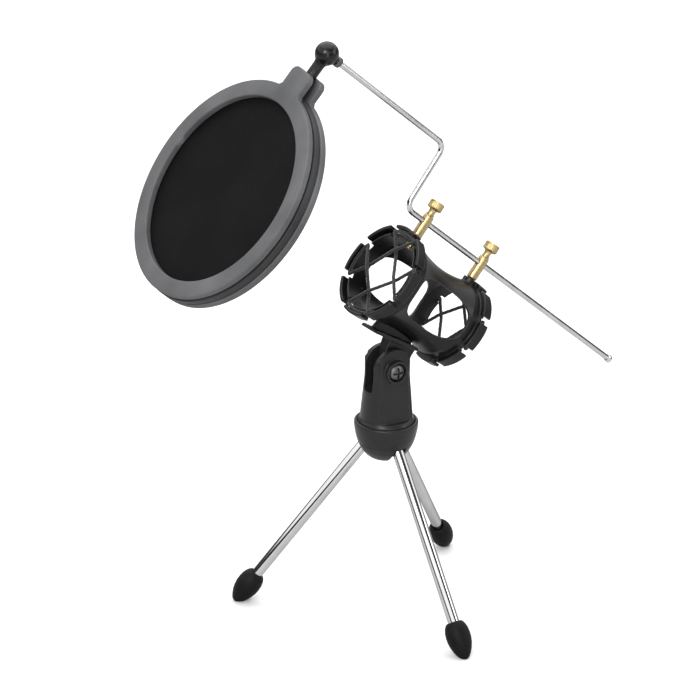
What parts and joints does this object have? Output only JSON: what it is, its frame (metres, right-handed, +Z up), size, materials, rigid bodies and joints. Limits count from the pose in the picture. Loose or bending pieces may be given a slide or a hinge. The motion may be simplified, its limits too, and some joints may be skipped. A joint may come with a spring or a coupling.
{
  "type": "pop filter",
  "caption": "Round double-mesh pop filter on a bent rod, clamped to an elastic microphone cradle on a swivel base with folding legs.",
  "frame": {"origin": "on the surface it stands on, below the middle of the whole object's box", "axes": "+Z up; X along the cradle's axis seen from above, with the filter at -X and the rod's free end at +X; the tilt screw's head faces -Y"},
  "size_m": [0.2714, 0.1528, 0.3116],
  "materials": {
    "black_plastic": "semi-matte moulded black",
    "gloss_black": "polished black",
    "grey_plastic": "fine matte texture",
    "nylon_mesh": "open nylon weave",
    "chrome_tube": "bright plated",
    "rod_steel": "drawn bright wire",
    "screw_steel": "dull zinc",
    "brass": "bright turned brass",
    "foot_rubber": "matte black",
    "elastic_cord": "braided sheath"
  },
  "bodies": {
    "stand": {"tripod_hub": "black_plastic", "leg_pin_1": "screw_steel", "leg_pin_2": "screw_steel", "leg_pin_3": "screw_steel"},
    "leg_1": {"leg_1": "chrome_tube", "foot_1": "foot_rubber"},
    "leg_2": {"leg_2": "chrome_tube", "foot_2": "foot_rubber"},
    "leg_3": {"leg_3": "chrome_tube", "foot_3": "foot_rubber"},
    "swivel": {"swivel_base": "black_plastic", "pan_stud": "rod_steel", "pivot_screw": "screw_steel", "pivot_nut": "screw_steel"},
    "cradle": {"shock_mount_frame": "black_plastic", "elastic_front": "elastic_cord", "elastic_rear": "elastic_cord", "clamp_post_1": "brass", "clamp_post_2": "brass", "post_nut_1": "brass", "post_nut_2": "brass"},
    "thumbscrew_1": {"thumbscrew_1": "brass"},
    "thumbscrew_2": {"thumbscrew_2": "brass"},
    "rod": {"boom_rod": "rod_steel", "rod_end_stop": "rod_steel", "rod_collar": "gloss_black"},
    "ball": {"ball_stem": "gloss_black"},
    "filter": {"filter_front_ring": "grey_plastic", "filter_rear_ring": "grey_plastic", "spacer_hoop": "grey_plastic", "front_mesh": "nylon_mesh", "rear_mesh": "nylon_mesh"}
  },
  "joints": [
    {"name": "leg_fold_1", "type": "hinge", "parent": "stand", "child": "leg_1", "pos_m": [-0.0162, 0.00727, 0.0951], "axis": [-0.4924, -0.8704, 0], "range_deg": [0, 35]},
    {"name": "leg_fold_2", "type": "hinge", "parent": "stand", "child": "leg_2", "pos_m": [-0.00917, -0.00467, 0.0951], "axis": [1, 0.0087, 0], "range_deg": [0, 35]},
    {"name": "leg_fold_3", "type": "hinge", "parent": "stand", "child": "leg_3", "pos_m": [-0.00235, 0.00739, 0.0951], "axis": [-0.5075, 0.8616, 0], "range_deg": [0, 35]},
    {"name": "base_pan", "type": "hinge", "parent": "stand", "child": "swivel", "pos_m": [-0.00924, 0.00333, 0.1035], "axis": [0, 0, 1], "continuous": true},
    {"name": "cradle_tilt", "type": "hinge", "parent": "swivel", "child": "cradle", "pos_m": [-0.00924, 0.00333, 0.1335], "axis": [0, 1, 0], "range_deg": [-40, 35]},
    {"name": "rod_slide", "type": "slide", "parent": "cradle", "child": "rod", "axis": [0.7738, 0, -0.6334], "range_m": [-0.1, 0.008]},
    {"name": "ball_turn", "type": "hinge", "parent": "rod", "child": "ball", "pos_m": [-0.04747, 0.0047, 0.30562], "axis": [0.7738, 0, -0.6334], "continuous": true},
    {"name": "filter_turn", "type": "hinge", "parent": "ball", "child": "filter", "pos_m": [-0.04747, 0.0047, 0.30562], "axis": [0.5866, -0.1428, 0.7972], "continuous": true},
    {"name": "thumbscrew_turn_1", "type": "hinge", "parent": "cradle", "child": "thumbscrew_1", "pos_m": [0.01588, 0.00333, 0.21361], "axis": [0.6334, 0, 0.7738], "continuous": true},
    {"name": "thumbscrew_turn_2", "type": "hinge", "parent": "cradle", "child": "thumbscrew_2", "pos_m": [0.05117, 0.00333, 0.18472], "axis": [0.6334, 0, 0.7738], "continuous": true}
  ]
}
